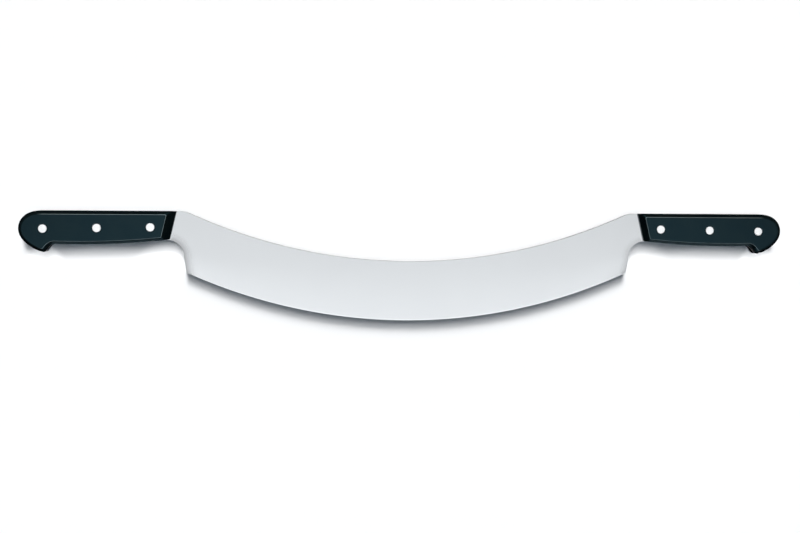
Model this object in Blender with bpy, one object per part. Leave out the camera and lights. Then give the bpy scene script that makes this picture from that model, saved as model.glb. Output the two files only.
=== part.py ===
"""Double-handled cheese knife, lying flat on its back scales.

One curved blade runs into a full tang at each end. Each tang carries a front and a back scale, held by
three two-part rivets. Lengths are in metres. +X runs along the knife, +Y from the cutting edge to the spine,
and +Z up out of the blade's front face. The origin is below the middle of the knife, on the surface that it
lies on.
"""

import math

import bmesh
import bpy
from mathutils import Matrix, Vector

# Blade, seen from the front
SPAN = 0.400  # between the handles
RISE = 0.0939  # lowest point of the cutting edge to the flat top of the handles
BLADE_DEPTH = 0.0516  # spine to cutting edge in the middle
SPINE_RADIUS = 0.455
EDGE_RADIUS = 0.4600
SHOULDER_RADIUS = 0.018  # where the spine turns into the flat top of the tang
HEEL_FROM_HANDLE = 0.0088  # the heel's corner to the handle's front, along the knife
HEEL_LEAN = math.radians(7.6)  # the heel's straight stretch, from upright
CHOIL_RADIUS = 0.0145  # the hollow between the heel and the handle

# Blade, in section
STOCK = 0.0024
GRIND_DEPTH_MIDDLE = 0.046  # how far the ground face reaches up from the cutting edge in the middle
GRIND_DEPTH_HEEL = 0.017  # and at the heel corners
BEVEL_SHOULDER = 0.0008  # thickness behind the edge bevel
EDGE_BEVEL = 0.0013
EDGE_LAND = 0.00012  # thickness left at the very edge

# Handle, seen from the front
HANDLE_LENGTH = 0.1284
BUTT_TOP_RADIUS = 0.0193
BUTT_END_RADIUS = 0.0141
BUTT_LOW_RADIUS = 0.0307
BUTT_TOP_SWEEP = math.radians(34.3)
BUTT_END_SWEEP = math.radians(94.8)
BUTT_LOW_SWEEP = math.radians(38.8)
BEAK_ANGLE = math.radians(52)  # the beak's inner flank, from the length of the handle
BEAK_ROOT_RADIUS = 0.008
BELLY_DEPTH = 0.02795  # flat top to the lowest point of the belly
BELLY_RADIUS = 0.670
BELLY_FROM_BUTT = 0.0484  # butt end to the lowest point of the belly
FRONT_LEAN = math.radians(13.8)  # the scale's front end, from upright
LEFT_FRONT_REACH = 0.0012  # how far the left scales run past the handle's front, onto the blade
RIGHT_FRONT_REACH = 0.0

# Scale, in section
SCALE_THICKNESS = 0.0060
EDGE_BREAK_WIDTH = 0.0025  # the bevel round the outer face
EDGE_BREAK_DEPTH = 0.0018
FACE_BLEND = 0.0007  # soft strip between the bevel and the outer face
FRONT_LAND = 0.0012  # thickness of the scale at its front end
LEFT_FRONT_SLOPE = 0.0074  # length of the slope at the front end, ground by hand
RIGHT_FRONT_SLOPE = 0.0046

# Rivets
RIVET_FROM_FRONT = 0.0195  # front of the handle to the inner rivet
RIVET_FROM_BUTT = 0.0207  # butt end to the outer rivet; the middle one sits halfway
LEFT_RIVET_SHIFT = 0.0006  # how much nearer to the butt the left handle's rivets sit
RIVET_BELOW_TOP = 0.0135
RIVET_DROP = 0.0007  # each rivet sits this much lower than the one before it
HEAD_DIAMETER = 0.0070
HEAD_THICKNESS = 0.0018
SLEEVE_DIAMETER = 0.0048
PIN_DIAMETER = 0.0030

# Fits
SEAT_GAP = 0.0003  # scale to tang, and under a rivet's head
BORE_CLEARANCE = 0.0003  # all round a rivet in its bore, and round the pin in its sleeve

# Fineness of the curves
BLADE_STEPS = 28  # facets of the edge and the spine, each side of the middle
RIVET_SIDES = 24
ARC_STEP = math.radians(8)
BELLY_STEPS = 8
BEYOND = 0.004  # how far a cutter reaches past what it cuts

# Worked out from the above
TOP = RISE / 2
EDGE_LOW = -RISE / 2
OUTER_FACE = STOCK / 2 + SEAT_GAP + SCALE_THICKNESS  # from the blade's middle plane
EDGE_CENTRE = Vector((0, EDGE_LOW + EDGE_RADIUS))
SPINE_CENTRE = Vector((0, EDGE_LOW + BLADE_DEPTH + SPINE_RADIUS))
BUTT_END = SPAN / 2 + HANDLE_LENGTH
BELLY_CENTRE = Vector((BUTT_END - BELLY_FROM_BUTT, TOP - BELLY_DEPTH + BELLY_RADIUS))
HEEL_ANGLE = math.asin((SPAN / 2 - HEEL_FROM_HANDLE) / EDGE_RADIUS)
RIVET_SPACING = (HANDLE_LENGTH - RIVET_FROM_FRONT - RIVET_FROM_BUTT) / 2
SIDES = {"left": -1, "right": 1}
FRONTS = {"left": (LEFT_FRONT_REACH, LEFT_FRONT_SLOPE), "right": (RIGHT_FRONT_REACH, RIGHT_FRONT_SLOPE)}


def below(centre, radius, angle):
    """The point of a circle at this angle from straight down, towards +X."""
    return centre + radius * Vector((math.sin(angle), -math.cos(angle)))


def angle_below(centre, point):
    """The angle of a point seen from a circle's centre, from straight down, towards +X."""
    return math.atan2(point.x - centre.x, centre.y - point.y)


def arc(centre, start, end, steps=None):
    """Points of the arc about a centre from one point to another, the shorter way, both included."""
    radius = (start - centre).length
    first = angle_below(centre, start)
    turn = math.remainder(angle_below(centre, end) - first, math.tau)
    steps = steps or max(2, math.ceil(abs(turn) / ARC_STEP))
    return [below(centre, radius, first + turn * k / steps) for k in range(steps + 1)]


def meet_circle(start, along, centre, radius):
    """How far along a line its first point on a circle lies, coming from outside or from within."""
    offset = start - centre
    middle = -offset.dot(along)
    half_chord = math.sqrt(middle**2 - offset.length_squared + radius**2)
    return middle - half_chord if offset.length > radius else middle + half_chord


def hollow_to_belly(start, along, air, radius):
    """The rounded hollow between a straight line and the belly: from the line, round to the belly's arc."""
    length = meet_circle(start + air * radius, along, BELLY_CENTRE, BELLY_RADIUS + radius)
    centre = start + air * radius + along * length
    on_belly = BELLY_CENTRE + (centre - BELLY_CENTRE) * BELLY_RADIUS / (BELLY_RADIUS + radius)
    return arc(centre, start + along * length, on_belly)


def butt():
    """The butt's three arcs, from the end of the flat top to the beak's tip."""
    top_arc = BUTT_END_RADIUS + (BUTT_TOP_RADIUS - BUTT_END_RADIUS) * math.sin(BUTT_TOP_SWEEP)
    points = [Vector((BUTT_END - top_arc, TOP))]
    heading = 0.0
    for radius, sweep in (
        (BUTT_TOP_RADIUS, BUTT_TOP_SWEEP),
        (BUTT_END_RADIUS, BUTT_END_SWEEP),
        (BUTT_LOW_RADIUS, BUTT_LOW_SWEEP),
    ):
        centre = points[-1] - radius * Vector((math.sin(heading), math.cos(heading)))
        steps = max(3, math.ceil(sweep / ARC_STEP))
        for k in range(1, steps + 1):
            turned = heading + sweep * k / steps
            points.append(centre + radius * Vector((math.sin(turned), math.cos(turned))))
        heading += sweep
    return points


def beak(tip):
    """The beak's inner flank and the hollow that joins it to the belly."""
    along = Vector((-math.cos(BEAK_ANGLE), math.sin(BEAK_ANGLE)))
    air = Vector((-math.sin(BEAK_ANGLE), -math.cos(BEAK_ANGLE)))
    return hollow_to_belly(tip, along, air, BEAK_ROOT_RADIUS)


def handle_outline(reach):
    """A right scale seen from the front, clockwise, reaching this far past the handle's front."""
    corner = Vector((SPAN / 2 - reach, TOP))
    down = Vector((math.sin(FRONT_LEAN), -math.cos(FRONT_LEAN)))
    front_low = corner + down * meet_circle(corner, down, BELLY_CENTRE, BELLY_RADIUS)
    points = [corner, *butt()]
    points += beak(points[-1])
    return points + arc(BELLY_CENTRE, points[-1], front_low, BELLY_STEPS)[1:]


def right_half_of_blade():
    """The blade's outline from the middle of the spine, round the right tang, to the middle of the edge."""
    corner = Vector((0, TOP - SHOULDER_RADIUS))
    reach = SPINE_RADIUS + SHOULDER_RADIUS
    corner.x = math.sqrt(reach**2 - (SPINE_CENTRE.y - corner.y) ** 2)
    spine_end = SPINE_CENTRE + (corner - SPINE_CENTRE) * SPINE_RADIUS / reach
    points = arc(SPINE_CENTRE, below(SPINE_CENTRE, SPINE_RADIUS, 0), spine_end, BLADE_STEPS)
    points += arc(corner, spine_end, Vector((corner.x, TOP)))[1:]
    points += butt()
    points += beak(points[-1])
    heel = below(EDGE_CENTRE, EDGE_RADIUS, HEEL_ANGLE)
    along = Vector((math.sin(HEEL_LEAN), math.cos(HEEL_LEAN)))
    air = Vector((math.cos(HEEL_LEAN), -math.sin(HEEL_LEAN)))
    choil = hollow_to_belly(heel, along, air, CHOIL_RADIUS)
    points += arc(BELLY_CENTRE, points[-1], choil[-1], BELLY_STEPS)[1:-1]
    points += reversed(choil)
    return points + arc(EDGE_CENTRE, heel, below(EDGE_CENTRE, EDGE_RADIUS, 0), BLADE_STEPS)


def blade_outline():
    """The whole blade with both tangs, clockwise."""
    right = right_half_of_blade()
    left = [Vector((-p.x, p.y)) for p in reversed(right[1:-1])]
    return right + left


def extruded(outline, low, high):
    """A bmesh of this outline between two heights, and its upper face."""
    shape = bmesh.new()
    bottom = shape.faces.new([shape.verts.new((p.x, p.y, low)) for p in outline])
    raised = bmesh.ops.extrude_face_region(shape, geom=[bottom])["geom"]
    top = next(part for part in raised if isinstance(part, bmesh.types.BMFace))
    bmesh.ops.translate(shape, verts=top.verts, vec=(0, 0, high - low))
    bmesh.ops.recalc_face_normals(shape, faces=shape.faces)
    return shape, top


def turned(profile, axis_places):
    """A bmesh of solids turned about upright axes, the profile being (radius, height) from axis to axis."""
    shape = bmesh.new()
    for place in axis_places:
        centre = Vector((place.x, place.y, 0))
        points = [shape.verts.new(centre + Vector((radius, 0, height))) for radius, height in profile]
        edges = [shape.edges.new(pair) for pair in zip(points, points[1:])]
        bmesh.ops.spin(
            shape,
            geom=points + edges,
            cent=centre,
            axis=(0, 0, 1),
            angle=math.tau,
            steps=RIVET_SIDES,
            use_merge=True,
        )
    bmesh.ops.remove_doubles(shape, verts=shape.verts, dist=1e-6)
    bmesh.ops.recalc_face_normals(shape, faces=shape.faces)
    return shape


def finish(name, shape, parent, material=None):
    """An object under the parent that holds this bmesh."""
    mesh = bpy.data.meshes.new(name)
    shape.to_mesh(mesh)
    shape.free()
    piece = bpy.data.objects.new(name, mesh)
    bpy.context.scene.collection.objects.link(piece)
    piece.parent = parent
    if material:
        mesh.materials.append(material)
        shade(mesh)
    else:
        piece.hide_render = True
        piece.display_type = "WIRE"
    return piece


def shade(mesh):
    """Smooth round walls between crisp edges."""
    mesh.shade_smooth()
    mesh.set_sharp_from_angle(angle=math.radians(25))


def cut(piece, *cutters):
    """Takes the cutters out of a piece, and keeps the result as its mesh."""
    for cutter in cutters:
        modifier = piece.modifiers.new("Cut", "BOOLEAN")
        modifier.object = cutter
        modifier.solver = "EXACT"
    bpy.context.view_layer.update()
    graph = bpy.context.evaluated_depsgraph_get()
    whole = piece.data
    piece.data = bpy.data.meshes.new_from_object(piece.evaluated_get(graph))
    piece.data.name = piece.name
    bpy.data.meshes.remove(whole)
    piece.modifiers.clear()
    shade(piece.data)


def plastic_or_metal(name, colour, roughness, metallic):
    """A plain Principled material."""
    material = bpy.data.materials.new(name)
    material.use_nodes = True
    shader = material.node_tree.nodes["Principled BSDF"]
    shader.inputs["Base Color"].default_value = (*colour, 1)
    shader.inputs["Roughness"].default_value = roughness
    shader.inputs["Metallic"].default_value = metallic
    material.diffuse_color = (*colour, 1)
    return material


def grind_section(angle):
    """The grinding cut at one station of the edge: (distance from the edge's centre, height) all round."""
    share = angle / HEEL_ANGLE
    depth = GRIND_DEPTH_MIDDLE + (GRIND_DEPTH_HEEL - GRIND_DEPTH_MIDDLE) * share**2
    rise = (STOCK - BEVEL_SHOULDER) / 2
    slope = rise / (depth - EDGE_BEVEL)
    start = depth + BEYOND
    return (
        (EDGE_RADIUS + BEYOND, EDGE_LAND / 2),
        (EDGE_RADIUS, EDGE_LAND / 2),
        (EDGE_RADIUS - EDGE_BEVEL, BEVEL_SHOULDER / 2),
        (EDGE_RADIUS - start, STOCK / 2 + slope * BEYOND),
        (EDGE_RADIUS - start, STOCK / 2 + BEYOND),
        (EDGE_RADIUS + BEYOND, STOCK / 2 + BEYOND),
    )


def grind_cutter(face):
    """What grinding takes off one face of the blade, face being 1 for the front and -1 for the back."""
    shape = bmesh.new()
    rings = []
    for k in range(-BLADE_STEPS - 2, BLADE_STEPS + 3):
        angle = HEEL_ANGLE * k / BLADE_STEPS
        section = []
        for radius, height in grind_section(angle):
            point = below(EDGE_CENTRE, radius, angle)
            section.append(shape.verts.new((point.x, point.y, face * height)))
        rings.append(section)
    for one, two in zip(rings, rings[1:]):
        for i in range(len(one)):
            shape.faces.new((one[i - 1], one[i], two[i], two[i - 1]))
    shape.faces.new(rings[0])
    shape.faces.new(rings[-1])
    bmesh.ops.recalc_face_normals(shape, faces=shape.faces)
    return shape


def make_blade(knife, steel, bores):
    """The blade and both tangs: a flat blank, drilled for the rivets and ground on both faces."""
    blank, _ = extruded(blade_outline(), -STOCK / 2, STOCK / 2)
    blade = finish("blade", blank, knife, steel)
    front = finish("grind_front", grind_cutter(1), knife)
    back = finish("grind_back", grind_cutter(-1), knife)
    cut(blade, bores, front, back)


def cut_by_plane(shape, point, normal):
    """Cuts away what lies on the normal's side of a plane, and closes the cut."""
    everything = [*shape.verts, *shape.edges, *shape.faces]
    made = bmesh.ops.bisect_plane(shape, geom=everything, plane_co=point, plane_no=normal, clear_outer=True)
    edges = [part for part in made["geom_cut"] if isinstance(part, bmesh.types.BMEdge)]
    bmesh.ops.contextual_create(shape, geom=edges)


def scale_shape(reach, slope):
    """A right front scale on the tang's seat, with the bevel round its face and its front slope."""
    seat = STOCK / 2 + SEAT_GAP
    shape, top = extruded(handle_outline(reach), seat, OUTER_FACE - EDGE_BREAK_DEPTH)
    steepness = EDGE_BREAK_DEPTH / EDGE_BREAK_WIDTH
    blend_drop = FACE_BLEND * steepness / 2
    for width, height in (
        (EDGE_BREAK_WIDTH - FACE_BLEND / 2, EDGE_BREAK_DEPTH - blend_drop / 2),
        (FACE_BLEND, blend_drop / 2),
    ):
        bmesh.ops.inset_region(shape, faces=[top], thickness=width, depth=height, use_even_offset=True)
    corner = Vector((SPAN / 2 - reach, TOP, seat + FRONT_LAND))
    inward = Vector((math.cos(FRONT_LEAN), math.sin(FRONT_LEAN), 0))
    up = Vector((0, 0, 1))
    fall = OUTER_FACE - corner.z
    across = inward * fall - up * slope
    cut_by_plane(shape, corner, -across)
    blended = corner + inward * (slope + FACE_BLEND / 2) + up * fall
    half_turned = -across.normalized() + up
    cut_by_plane(shape, blended, half_turned)
    bmesh.ops.recalc_face_normals(shape, faces=shape.faces)
    return shape


def make_scales(knife, plastic, bores):
    """A front and a back scale on each tang."""
    for side, across in SIDES.items():
        for label, face in (("front", 1), ("back", -1)):
            shape = scale_shape(*FRONTS[side])
            bmesh.ops.transform(shape, verts=shape.verts, matrix=Matrix.Diagonal((across, 1, face, 1)))
            bmesh.ops.recalc_face_normals(shape, faces=shape.faces)
            cut(finish(f"{side}_{label}_scale", shape, knife, plastic), bores)


def rivet_places(side):
    """Where the three rivets of one handle stand, by their names."""
    first = SPAN / 2 + RIVET_FROM_FRONT + (LEFT_RIVET_SHIFT if side == "left" else 0)
    return {
        label: Vector((SIDES[side] * (first + i * RIVET_SPACING), TOP - RIVET_BELOW_TOP - i * RIVET_DROP))
        for i, label in enumerate(("inner", "middle", "outer"))
    }


def rivet_bores(knife):
    """The cutter for all six rivets: the sleeve's bore with a counterbore for a head at each end."""
    shank = SLEEVE_DIAMETER / 2 + BORE_CLEARANCE
    head = HEAD_DIAMETER / 2 + BORE_CLEARANCE
    floor = OUTER_FACE - HEAD_THICKNESS - SEAT_GAP
    end = OUTER_FACE + BEYOND
    profile = [(0, -end), (head, -end), (head, -floor), (shank, -floor)]
    profile += [(radius, -height) for radius, height in reversed(profile)]
    places = [place for side in SIDES for place in rivet_places(side).values()]
    return finish("rivet_bores", turned(profile, places), knife)


def make_rivets(knife, metal):
    """Three rivets on each handle: a flanged sleeve from the front and a headed pin from the back."""
    head = HEAD_DIAMETER / 2
    sleeve = SLEEVE_DIAMETER / 2
    pin = PIN_DIAMETER / 2
    bore = pin + BORE_CLEARANCE
    head_seat = OUTER_FACE - HEAD_THICKNESS
    pin_profile = [(0, -OUTER_FACE), (head, -OUTER_FACE), (head, -head_seat), (pin, -head_seat)]
    pin_profile += [(pin, OUTER_FACE), (0, OUTER_FACE)]
    sleeve_end = SEAT_GAP - head_seat
    sleeve_profile = [(bore, sleeve_end), (sleeve, sleeve_end), (sleeve, head_seat), (head, head_seat)]
    sleeve_profile += [(head, OUTER_FACE), (bore, OUTER_FACE), (bore, sleeve_end)]
    origin = [Vector((0, 0))]
    for side in SIDES:
        for label, place in rivet_places(side).items():
            for part, profile in (("sleeve", sleeve_profile), ("pin", pin_profile)):
                rivet = finish(f"{side}_{label}_rivet_{part}", turned(profile, origin), knife, metal)
                rivet.location = (place.x, place.y, 0)


def main():
    """Clears the scene and builds the knife."""
    for old in list(bpy.data.objects):
        bpy.data.objects.remove(old)
    knife = bpy.data.objects.new("knife", None)
    bpy.context.scene.collection.objects.link(knife)
    knife.location.z = OUTER_FACE
    blade_steel = plastic_or_metal("blade_steel", (0.66, 0.68, 0.70), 0.30, 1)
    scale_plastic = plastic_or_metal("scale_plastic", (0.010, 0.022, 0.027), 0.32, 0)
    rivet_metal = plastic_or_metal("rivet_metal", (0.86, 0.87, 0.87), 0.22, 1)
    bores = rivet_bores(knife)
    make_blade(knife, blade_steel, bores)
    make_scales(knife, scale_plastic, bores)
    make_rivets(knife, rivet_metal)


main()
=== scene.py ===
"""Looks of the double-handled cheese knife: its finished meshes, its finishes, the light and the camera.

Everything is in metres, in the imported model's frame: +X along the knife, +Y from the cutting edge to the
spine, +Z out of the blade's front face. The knife lies on its back scales at height 0.
"""

import logging
import math
from collections.abc import Callable, Iterable, Sequence
from dataclasses import dataclass, field
from enum import Enum

import bmesh
import bpy
from mathutils import Matrix, Vector
from mathutils.geometry import delaunay_2d_cdt


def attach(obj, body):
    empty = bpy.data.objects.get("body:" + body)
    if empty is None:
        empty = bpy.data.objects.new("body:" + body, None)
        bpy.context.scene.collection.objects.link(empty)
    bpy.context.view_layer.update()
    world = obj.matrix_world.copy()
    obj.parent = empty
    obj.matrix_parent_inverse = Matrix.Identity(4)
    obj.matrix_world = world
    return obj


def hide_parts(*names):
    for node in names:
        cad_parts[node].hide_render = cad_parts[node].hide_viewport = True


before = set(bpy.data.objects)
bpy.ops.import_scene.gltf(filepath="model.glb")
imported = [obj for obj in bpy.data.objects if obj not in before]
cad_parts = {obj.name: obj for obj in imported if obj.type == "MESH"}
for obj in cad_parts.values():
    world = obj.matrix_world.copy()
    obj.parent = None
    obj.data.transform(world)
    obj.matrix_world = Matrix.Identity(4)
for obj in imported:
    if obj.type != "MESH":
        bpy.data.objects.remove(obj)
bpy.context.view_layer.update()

log = logging.getLogger("cheese_knife")

MM = 0.001
HALF_HEIGHT = 7.5 * MM  # from the blade's middle plane to the scales' outer faces
SHARP_FROM = math.radians(32)  # an edge that turns more than this is shaded sharp
CARD_HEIGHT = 1.30  # of the light cards that hang level over the knife
ROOT = "root"
EDGE_WEAR_AND_HIGHLIGHT = "worn_edge"  # vertex attribute: 1 on eased edges, given a lighter colour there: partly marks of use, and on the scales a painted highlight line
HOLLOW_DULL_AND_SHADE = "dull_hollow"  # vertex attribute: 1 in the hollows by the heels and on the blade's rim, which are rougher there and darkened with painted shade
BUFFED = "buffed_bevel"  # vertex attribute: 1 on the scales' glossy bevels

Ring = list[Vector]
Profile = Sequence[tuple[float, float]]
Triple = tuple[float, float, float]
Colour = Triple
Socket = bpy.types.NodeSocket


class Named(Enum):
    """A choice whose word goes into the names of pieces."""

    @property
    def word(self) -> str:
        """The choice's word."""
        return self.name.lower()


class End(Named):
    """An end of the knife, with its sign along X."""

    LEFT = -1
    RIGHT = 1


class Face(Named):
    """A face of the knife, with its sign along Z."""

    FRONT = 1
    BACK = -1


class Place(Named):
    """A rivet's place on its handle, counted from the blade."""

    INNER = 0
    MIDDLE = 1
    OUTER = 2


class Slot(Enum):
    """The record's material slots."""

    STEEL = "blade_steel"
    PLASTIC = "scale_plastic"
    RIVET = "rivet_metal"


# Plane geometry


def below(centre: Vector, radius: float, angle: float) -> Vector:
    """The point of a circle at this angle from straight down, towards +X."""
    return centre + radius * Vector((math.sin(angle), -math.cos(angle)))


def direction(angle: float) -> Vector:
    """The direction at this angle from straight up, towards +X."""
    return Vector((math.sin(angle), math.cos(angle)))


def mirrored(point: Vector) -> Vector:
    """The same place at the knife's other end."""
    return Vector((-point.x, point.y))


def on_right(point: Vector) -> Vector:
    """The same place at the knife's right end."""
    return Vector((abs(point.x), point.y))


def circle(centre: Vector, radius: float, sides: int) -> Ring:
    """Points all round a circle, from its lowest one."""
    return [below(centre, radius, math.tau * k / sides) for k in range(sides)]


def angle_below(centre: Vector, point: Vector) -> float:
    """The angle of a point seen from a circle's centre, from straight down, towards +X."""
    return math.atan2(point.x - centre.x, centre.y - point.y)


def arc(centre: Vector, start: Vector, end: Vector, steps: int) -> Ring:
    """Points of the shorter arc about a centre.

    Args:
        centre: The arc's centre.
        start: Its first point, which sets the radius.
        end: Its last point.
        steps: How many stretches it is divided into.

    Returns:
        The points, with both ends.
    """
    radius = (start - centre).length
    first = angle_below(centre, start)
    turn = math.remainder(angle_below(centre, end) - first, math.tau)
    return [below(centre, radius, first + turn * k / steps) for k in range(steps + 1)]


def straight(start: Vector, end: Vector, steps: int) -> Ring:
    """Points of a straight line divided into equal stretches, with both ends."""
    return [start.lerp(end, k / steps) for k in range(steps + 1)]


def crossings(start: Vector, along: Vector, centre: Vector, radius: float) -> tuple[float, float]:
    """Where a line crosses a circle.

    Args:
        start: A point of the line.
        along: The line's direction, of length 1.
        centre: The circle's centre.
        radius: The circle's radius.

    Returns:
        The two distances along the line from its start, the lower one first.
    """
    offset = start - centre
    middle = -offset.dot(along)
    half_chord = math.sqrt(middle**2 - offset.length_squared + radius**2)
    return middle - half_chord, middle + half_chord


def smooth_step(value: float) -> float:
    """0 up to 0, 1 from 1, and a smooth rise between them."""
    held = min(1.0, max(0.0, value))
    return held * held * (3 - 2 * held)


# The handle's outline


@dataclass(frozen=True)
class HandleOutline:
    """The right handle from the front. Its insets are what a level plane cuts from the bevelled scale."""

    front: float = 200 * MM
    top: float = 46.95 * MM
    length: float = 128.4 * MM
    butt_radii: Triple = (19.3 * MM, 14.1 * MM, 30.7 * MM)
    butt_sweeps: Triple = (34.3, 94.8, 38.8)
    beak_angle: float = math.radians(52)
    beak_root_radius: float = 8 * MM
    belly_depth: float = 27.95 * MM
    belly_radius: float = 670 * MM
    belly_from_butt: float = 48.4 * MM
    front_lean: float = math.radians(13.8)
    reaches: dict[End, float] = field(default_factory=lambda: {End.LEFT: 1.2 * MM, End.RIGHT: 0.0})
    top_widening: float = 0.13
    top_widening_fade: float = 14 * MM
    top_steps: int = 24
    butt_steps: tuple[int, int, int] = (14, 38, 16)
    flank_steps: int = 4
    hollow_steps: int = 12
    belly_steps: int = 36
    front_steps: int = 8
    corner_steps: int = 6

    @property
    def belly_centre(self) -> Vector:
        """The centre of the belly's long arc."""
        x = self.front + self.length - self.belly_from_butt
        return Vector((x, self.top - self.belly_depth + self.belly_radius))

    @property
    def front_down(self) -> Vector:
        """The direction of the front end, from its upper corner."""
        return Vector((math.sin(self.front_lean), -math.cos(self.front_lean)))

    @property
    def front_inward(self) -> Vector:
        """The direction from the front end into the scale."""
        return Vector((math.cos(self.front_lean), math.sin(self.front_lean)))

    @property
    def flank(self) -> tuple[Vector, Vector]:
        """The beak's inner flank: its direction away from the tip, and the direction out of the handle."""
        along = Vector((-math.cos(self.beak_angle), math.sin(self.beak_angle)))
        return along, Vector((-math.sin(self.beak_angle), -math.cos(self.beak_angle)))

    def butt_arcs(self) -> list[tuple[Vector, float, float, float]]:
        """The butt's three arcs, from the flat top to the beak.

        Returns:
            Each arc's centre, its radius, and its first and last heading from straight up.
        """
        one, two, _ = self.butt_radii
        first_sweep = math.radians(self.butt_sweeps[0])
        start = Vector((self.front + self.length - two - (one - two) * math.sin(first_sweep), self.top))
        heading = 0.0
        arcs = []
        for radius, degrees in zip(self.butt_radii, self.butt_sweeps):
            centre = start - radius * direction(heading)
            last = heading + math.radians(degrees)
            arcs.append((centre, radius, heading, last))
            start = centre + radius * direction(last)
            heading = last
        return arcs

    def tip(self, inset: float) -> Vector:
        """The beak's tip, or where its two sides meet when both are moved inwards."""
        centre, radius, _, last = self.butt_arcs()[-1]
        sharp = centre + radius * direction(last)
        along, air = self.flank
        start = sharp - air * inset
        return start + along * min(crossings(start, along, centre, radius - inset), key=abs)

    def hollow_to_belly(
        self, start: Vector, along: Vector, air: Vector, radius: float
    ) -> tuple[Vector, Vector]:
        """The rounded hollow between a straight side and the belly.

        Args:
            start: A point of the straight side.
            along: The side's direction, towards the belly.
            air: The direction from the side out of the material.
            radius: The hollow's radius.

        Returns:
            The hollow's centre, and the direction from the belly's centre to it.
        """
        begin = start + air * radius
        near, far = crossings(begin, along, self.belly_centre, self.belly_radius + radius)
        outside = (begin - self.belly_centre).length > self.belly_radius + radius
        centre = begin + along * (near if outside else far)
        return centre, (centre - self.belly_centre).normalized()

    def from_belly(self, point: Vector) -> float:
        """How far a point lies inside the belly's long arc."""
        return self.belly_radius - (point - self.belly_centre).length

    def butt_and_beak(self, inset: float) -> Ring:
        """The outline from the end of the flat top, round the butt and the beak, to the belly.

        Args:
            inset: How far inside the outline.

        Returns:
            The points, clockwise.
        """
        arcs = self.butt_arcs()
        tip = self.tip(inset)
        points: Ring = []
        for (centre, radius, first, last), steps in zip(arcs, self.butt_steps):
            if centre is arcs[-1][0]:
                last = math.atan2(tip.x - centre.x, tip.y - centre.y)
            begin = 1 if points else 0
            for k in range(begin, steps + 1):
                heading = first + (last - first) * k / steps
                points.append(centre + (radius - inset) * direction(heading))
        along, air = self.flank
        centre, to_hollow = self.hollow_to_belly(self.tip(0), along, air, self.beak_root_radius)
        root = centre - air * (self.beak_root_radius + inset)
        on_belly = self.belly_centre + to_hollow * (self.belly_radius - inset)
        points += straight(tip, root, self.flank_steps)[1:]
        return points + arc(centre, root, on_belly, self.hollow_steps)[1:]

    def front_corner(self, end: End) -> Vector:
        """The scale's upper front corner, which reaches a little onto the blade at the left end."""
        return Vector((self.front - self.reaches[end], self.top))

    def section(self, end: End, inset: float, front_inset: float, rounding: float) -> Ring:
        """A level cut through the scale, clockwise from the end of its upper front corner.

        Args:
            end: The knife's end that the scale is for.
            inset: How far the bevel has moved the sides inwards.
            front_inset: How far the front slope has moved the front end inwards.
            rounding: The radius of both front corners.

        Returns:
            The points, always as many.
        """
        inner = self.front_corner(end) + self.front_inward * (front_inset + rounding)
        belly = self.belly_radius - inset
        high = inner + self.front_down * ((inner.y - self.top + inset + rounding) / math.cos(self.front_lean))
        _, far = crossings(inner, self.front_down, self.belly_centre, belly - rounding)
        low = inner + self.front_down * far
        outward = -self.front_inward * rounding
        on_belly = self.belly_centre + (low - self.belly_centre).normalized() * belly
        rest = self.butt_and_beak(inset)
        points = straight(high + Vector((0, rounding)), rest[0], self.top_steps) + rest[1:]
        points += arc(self.belly_centre, points[-1], on_belly, self.belly_steps)[1:]
        points += arc(low, on_belly, low + outward, self.corner_steps)[1:]
        points += straight(low + outward, high + outward, self.front_steps)[1:]
        points += arc(high, high + outward, points[0], self.corner_steps)[1:-1]
        return [p - Vector((0, inset * self.top_widening * self.nearness_to_top(p))) for p in points]

    def nearness_to_top(self, point: Vector) -> float:
        """1 at the flat top, and less and less further down, where the bevel is narrower."""
        return smooth_step((point.y - self.top) / self.top_widening_fade + 1)


# The blade's outline and thickness


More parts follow.
